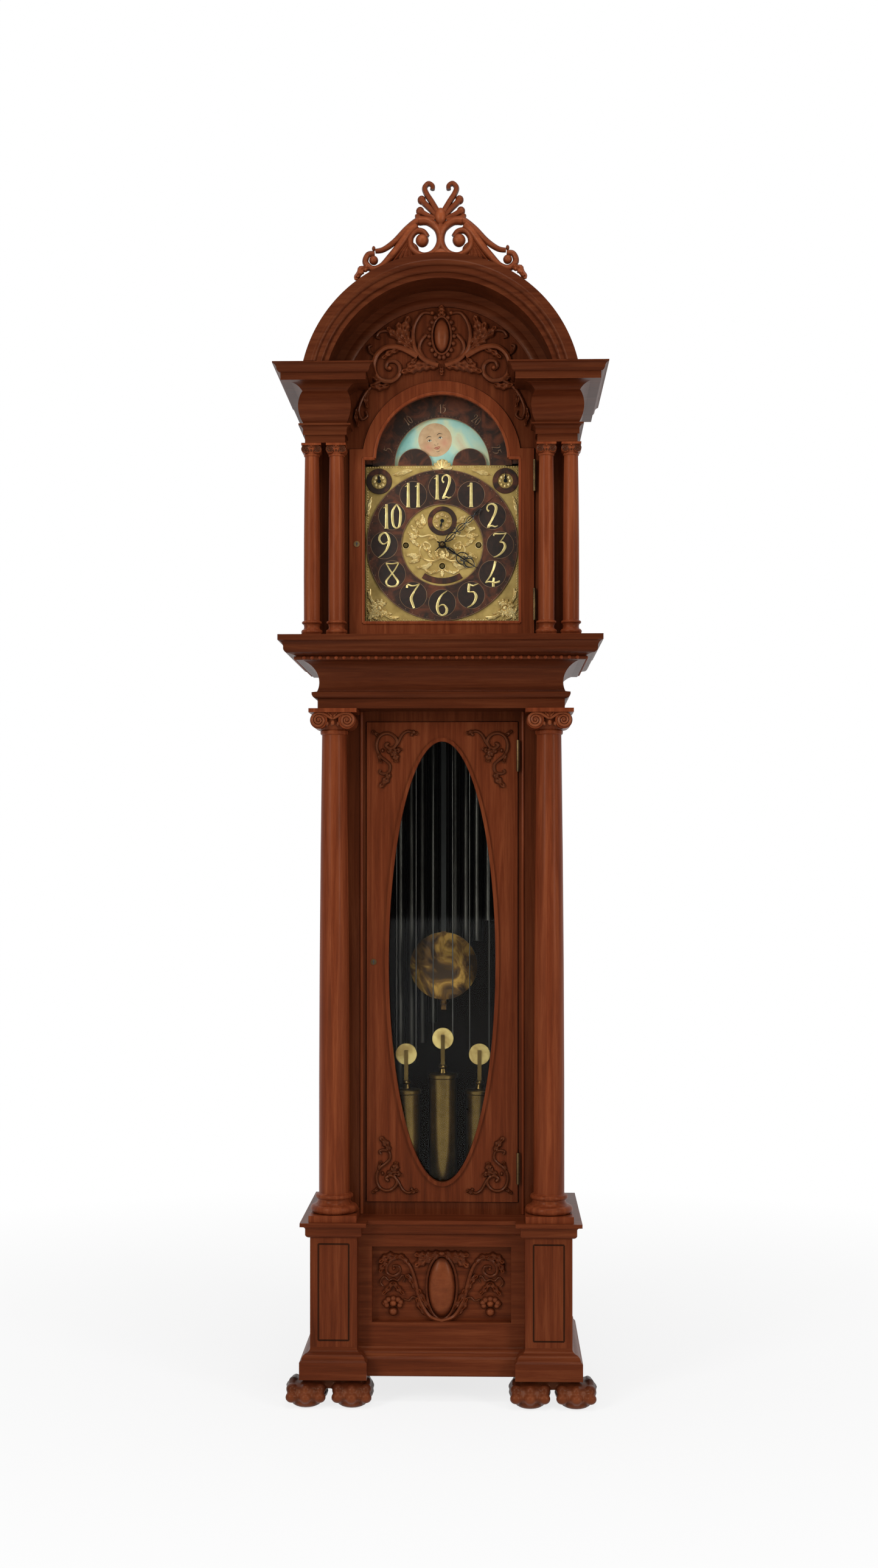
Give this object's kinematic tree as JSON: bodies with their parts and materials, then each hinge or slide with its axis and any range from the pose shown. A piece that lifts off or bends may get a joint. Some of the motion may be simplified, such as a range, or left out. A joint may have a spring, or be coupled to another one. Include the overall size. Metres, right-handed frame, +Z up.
{
  "type": "longcase clock",
  "caption": "Tall free-standing longcase clock with arched hood, scroll crest, columns, oval-glazed trunk door, moon dial, weights, pendulum and tubular bells.",
  "frame": {"origin": "on the floor under the middle of the case's overall box", "axes": "+Z up, front towards -Y"},
  "size_m": [0.656, 0.422, 2.417],
  "materials": {
    "mahogany": "satin-gloss red-brown polish",
    "clear_glass": "clear, bevelled",
    "brass": "polished, slightly aged",
    "dark_ring": "satin brown",
    "steel": "plain",
    "nickel": "nickelled, slightly dull",
    "black_hands": "blued black",
    "painted_disc": "painted sky",
    "dark_iron": "dark paint"
  },
  "bodies": {
    "case": {"paw_feet": "mahogany", "base_plinth": "mahogany", "base_carcase": "mahogany", "base_front_panel": "mahogany", "base_carving": "mahogany", "base_cap_moulding": "mahogany", "waist_sides": "mahogany", "waist_front_frame": "mahogany", "waist_columns": "mahogany", "waist_cornice": "mahogany", "seat_board": "mahogany", "back_board": "mahogany", "hood_sides": "mahogany", "hood_front_frame": "mahogany", "hood_columns": "mahogany", "hood_entablature": "mahogany", "hood_arch": "mahogany", "tympanum_carving": "mahogany", "hood_roof": "mahogany", "hood_crest": "mahogany", "case_hinge_leaves": "brass", "dial_plate": "brass", "chapter_ring": "dark_ring", "dial_trim": "brass", "movement_frame": "brass", "chime_rack": "dark_iron", "chime_tubes": "nickel", "left_cable": "steel", "centre_cable": "steel", "right_cable": "steel"},
    "waist_door": {"waist_door_frame": "mahogany", "waist_door_glass": "clear_glass", "waist_door_carvings": "mahogany", "waist_door_fittings": "brass"},
    "waist_bolt": {"waist_lock_bolt": "steel"},
    "hood_door": {"hood_door_frame": "mahogany", "hood_door_glass": "clear_glass", "hood_door_fittings": "brass"},
    "hood_bolt": {"hood_lock_bolt": "steel"},
    "minute": {"minute_hand": "black_hands", "centre_wheel": "brass"},
    "hour": {"hour_hand": "black_hands"},
    "seconds": {"seconds_hand": "black_hands"},
    "third": {"third_wheel": "brass"},
    "minute_work": {"minute_wheel": "brass"},
    "moon": {"moon_disc": "painted_disc"},
    "left_small_hand": {"left_dial_hand": "black_hands"},
    "right_small_hand": {"right_dial_hand": "black_hands"},
    "pendulum": {"pendulum": "brass"},
    "anchor": {"anchor": "steel"},
    "hammers": {"chime_hammers": "dark_iron"},
    "left_weight": {"left_weight": "brass"},
    "left_pulley": {"left_pulley": "brass"},
    "left_barrel": {"left_barrel": "brass"},
    "centre_weight": {"centre_weight": "brass"},
    "centre_pulley": {"centre_pulley": "brass"},
    "centre_barrel": {"centre_barrel": "brass"},
    "right_weight": {"right_weight": "brass"},
    "right_pulley": {"right_pulley": "brass"},
    "right_barrel": {"right_barrel": "brass"}
  },
  "joints": [
    {"name": "waist_door_hinge", "type": "hinge", "parent": "case", "child": "waist_door", "pos_m": [0.15275, -0.0596, 0.871], "axis": [0, 0, 1], "range_deg": [0, 90]},
    {"name": "waist_bolt_slide", "type": "slide", "parent": "waist_door", "child": "waist_bolt", "axis": [-1, 0, 0], "range_m": [0, 0.008]},
    {"name": "hood_door_hinge", "type": "hinge", "parent": "case", "child": "hood_door", "pos_m": [0.18525, -0.0976, 1.7], "axis": [0, 0, 1], "range_deg": [0, 84]},
    {"name": "hood_bolt_slide", "type": "slide", "parent": "hood_door", "child": "hood_bolt", "axis": [-1, 0, 0], "range_m": [0, 0.008]},
    {"name": "third_spin", "type": "hinge", "parent": "case", "child": "third", "pos_m": [0.0117, 0, 1.73832], "axis": [0, -1, 0], "continuous": true},
    {"name": "minute_spin", "type": "hinge", "parent": "case", "child": "minute", "pos_m": [0, 0, 1.712], "axis": [0, 1, 0], "continuous": true},
    {"name": "hour_spin", "type": "hinge", "parent": "case", "child": "hour", "pos_m": [0, 0, 1.712], "axis": [0, 1, 0], "continuous": true},
    {"name": "seconds_spin", "type": "hinge", "parent": "case", "child": "seconds", "pos_m": [0, 0, 1.761], "axis": [0, 1, 0], "continuous": true},
    {"name": "minute_work_spin", "type": "hinge", "parent": "case", "child": "minute_work", "pos_m": [-0.024, 0, 1.712], "axis": [0, 1, 0], "continuous": true},
    {"name": "moon_spin", "type": "hinge", "parent": "case", "child": "moon", "pos_m": [0, 0, 1.873], "axis": [0, 1, 0], "continuous": true},
    {"name": "left_small_hand_turn", "type": "hinge", "parent": "case", "child": "left_small_hand", "pos_m": [-0.1276, 0, 1.8415], "axis": [0, 1, 0], "range_deg": [-60, 60]},
    {"name": "right_small_hand_turn", "type": "hinge", "parent": "case", "child": "right_small_hand", "pos_m": [0.1276, 0, 1.8415], "axis": [0, 1, 0], "range_deg": [-60, 60]},
    {"name": "pendulum_swing", "type": "hinge", "parent": "case", "child": "pendulum", "pos_m": [0, 0.076, 1.85], "axis": [0, 1, 0], "range_deg": [-2.3, 2.3]},
    {"name": "anchor_rock", "type": "hinge", "parent": "case", "child": "anchor", "pos_m": [0, 0, 1.793], "axis": [0, 1, 0], "range_deg": [-4, 4]},
    {"name": "hammer_lift", "type": "hinge", "parent": "case", "child": "hammers", "pos_m": [0, 0.1082, 1.5902], "axis": [1, 0, 0], "range_deg": [-8, 0]},
    {"name": "left_weight_travel", "type": "slide", "parent": "case", "child": "left_weight", "axis": [0, 0, 1], "range_m": [-0.19, 0.6], "deforming": ["left_cable"]},
    {"name": "left_pulley_spin", "type": "hinge", "parent": "left_weight", "child": "left_pulley", "pos_m": [-0.075, 0.011, 0.679], "axis": [0, 1, 0], "continuous": true},
    {"name": "left_barrel_spin", "type": "hinge", "parent": "case", "child": "left_barrel", "pos_m": [-0.0735, 0, 1.712], "axis": [0, 1, 0], "continuous": true},
    {"name": "centre_weight_travel", "type": "slide", "parent": "case", "child": "centre_weight", "axis": [0, 0, 1], "range_m": [-0.19, 0.6], "deforming": ["centre_cable"]},
    {"name": "centre_pulley_spin", "type": "hinge", "parent": "centre_weight", "child": "centre_pulley", "pos_m": [0, 0.011, 0.711], "axis": [0, 1, 0], "continuous": true},
    {"name": "centre_barrel_spin", "type": "hinge", "parent": "case", "child": "centre_barrel", "pos_m": [0, 0, 1.67], "axis": [0, 1, 0], "continuous": true},
    {"name": "right_weight_travel", "type": "slide", "parent": "case", "child": "right_weight", "axis": [0, 0, 1], "range_m": [-0.19, 0.6], "deforming": ["right_cable"]},
    {"name": "right_pulley_spin", "type": "hinge", "parent": "right_weight", "child": "right_pulley", "pos_m": [0.075, 0.011, 0.679], "axis": [0, 1, 0], "continuous": true},
    {"name": "right_barrel_spin", "type": "hinge", "parent": "case", "child": "right_barrel", "pos_m": [0.0735, 0, 1.712], "axis": [0, 1, 0], "continuous": true}
  ],
  "couplings": [
    {"joint": "minute_spin", "follows": "third_spin", "ratio": 0.125},
    {"joint": "hour_spin", "follows": "third_spin", "ratio": 0.010417},
    {"joint": "seconds_spin", "follows": "third_spin", "ratio": 7.5},
    {"joint": "minute_work_spin", "follows": "third_spin", "ratio": -0.041667},
    {"joint": "anchor_rock", "follows": "pendulum_swing", "ratio": 1.6129},
    {"joint": "left_pulley_spin", "follows": "left_weight_travel", "rad_per_m": -50},
    {"joint": "left_barrel_spin", "follows": "left_weight_travel", "rad_per_m": -76.34},
    {"joint": "centre_pulley_spin", "follows": "centre_weight_travel", "rad_per_m": 50},
    {"joint": "centre_barrel_spin", "follows": "centre_weight_travel", "rad_per_m": 76.34},
    {"joint": "right_pulley_spin", "follows": "right_weight_travel", "rad_per_m": 50},
    {"joint": "right_barrel_spin", "follows": "right_weight_travel", "rad_per_m": 76.34}
  ]
}
